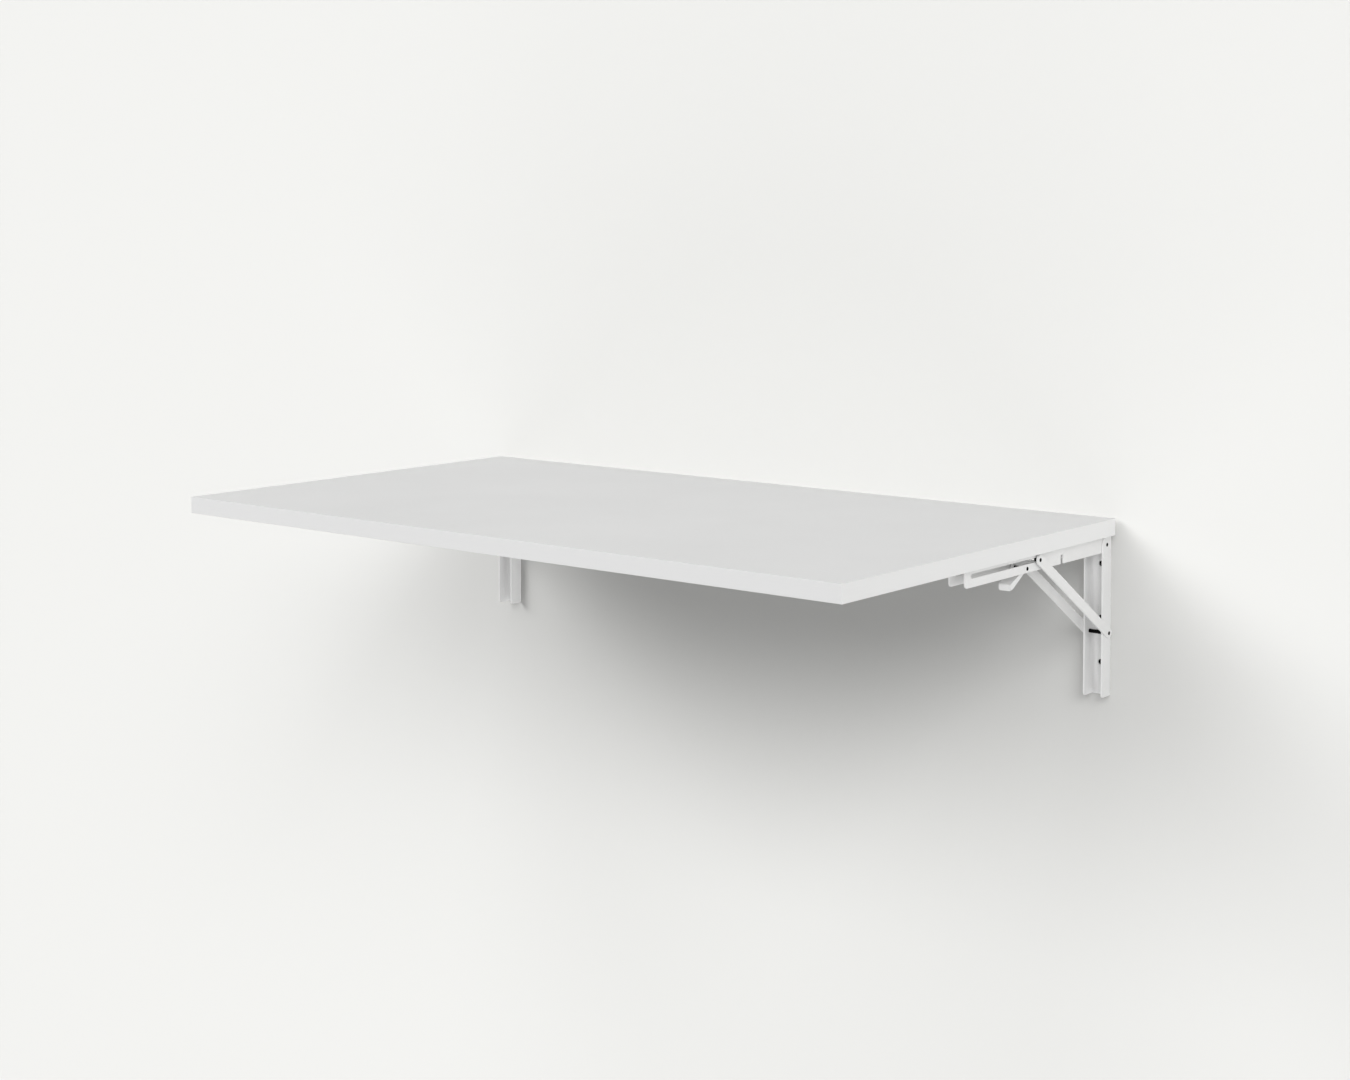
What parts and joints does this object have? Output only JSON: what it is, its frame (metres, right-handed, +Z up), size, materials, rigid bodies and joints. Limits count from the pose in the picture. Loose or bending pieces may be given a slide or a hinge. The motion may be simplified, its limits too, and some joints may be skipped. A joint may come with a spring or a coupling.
{
  "type": "wall mounted drop leaf table",
  "caption": "Rectangular table leaf on folding steel brackets: it stands level on stays that slide in rails and latch, and folds down flat against the wall.",
  "frame": {"origin": "middle of the four outer wall screw holes, on the wall plane", "axes": "+X along the wall, +Y into the wall, +Z up"},
  "size_m": [0.88, 0.507, 0.188],
  "materials": {
    "leaf_laminate": "matt white laminate on particle board",
    "leaf_edge": "matt white edge strip",
    "bracket_paint": "white powder coat",
    "black_pin": "blackened steel",
    "zinc_screw": "zinc plated"
  },
  "bodies": {
    "wall_channels": {"wall_channel_left": "bracket_paint", "hinge_pin_left": "black_pin", "stay_pivot_pin_left": "black_pin", "wall_channel_right": "bracket_paint", "hinge_pin_right": "black_pin", "stay_pivot_pin_right": "black_pin"},
    "leaf": {"leaf_board": "leaf_laminate", "edge_band_front": "leaf_edge", "edge_band_back": "leaf_edge", "edge_band_left": "leaf_edge", "edge_band_right": "leaf_edge", "rail_left": "bracket_paint", "latch_pin_left": "black_pin", "leaf_screws_left": "zinc_screw", "rail_right": "bracket_paint", "latch_pin_right": "black_pin", "leaf_screws_right": "zinc_screw"},
    "stay_left": {"stay_bar_outer_left": "bracket_paint", "stay_bar_inner_left": "bracket_paint", "stay_rivets_left": "black_pin"},
    "slider_left": {"slide_pin_left": "black_pin"},
    "latch_left": {"latch_lever_left": "bracket_paint"},
    "stay_right": {"stay_bar_outer_right": "bracket_paint", "stay_bar_inner_right": "bracket_paint", "stay_rivets_right": "black_pin"},
    "slider_right": {"slide_pin_right": "black_pin"},
    "latch_right": {"latch_lever_right": "bracket_paint"}
  },
  "joints": [
    {"name": "leaf_fold", "type": "hinge", "parent": "wall_channels", "child": "leaf", "pos_m": [0, -0.01, 0.074], "axis": [1, 0, 0], "range_deg": [0, 90]},
    {"name": "stay_left_swing", "type": "hinge", "parent": "wall_channels", "child": "stay_left", "pos_m": [-0.4215, -0.0085, -0.019], "axis": [1, 0, 0], "range_deg": [0, 122.05]},
    {"name": "slider_left_run", "type": "slide", "parent": "leaf", "child": "slider_left", "axis": [0, -1, 0], "range_m": [0, 0.12314]},
    {"name": "latch_left_lift", "type": "hinge", "parent": "leaf", "child": "latch_left", "pos_m": [-0.4215, -0.1725, 0.07], "axis": [-1, 0, 0], "range_deg": [-10, 16]},
    {"name": "stay_right_swing", "type": "hinge", "parent": "wall_channels", "child": "stay_right", "pos_m": [0.4215, -0.0085, -0.019], "axis": [1, 0, 0], "range_deg": [0, 122.05]},
    {"name": "slider_right_run", "type": "slide", "parent": "leaf", "child": "slider_right", "axis": [0, -1, 0], "range_m": [0, 0.12314]},
    {"name": "latch_right_lift", "type": "hinge", "parent": "leaf", "child": "latch_right", "pos_m": [0.4215, -0.1725, 0.07], "axis": [-1, 0, 0], "range_deg": [-10, 16]}
  ],
  "couplings": [
    {"joint": "stay_left_swing", "follows": "leaf_fold", "ratio": 1.3561},
    {"joint": "slider_left_run", "follows": "leaf_fold", "m_per_rad": 0.078387},
    {"joint": "stay_right_swing", "follows": "leaf_fold", "ratio": 1.3561},
    {"joint": "slider_right_run", "follows": "leaf_fold", "m_per_rad": 0.078387}
  ]
}
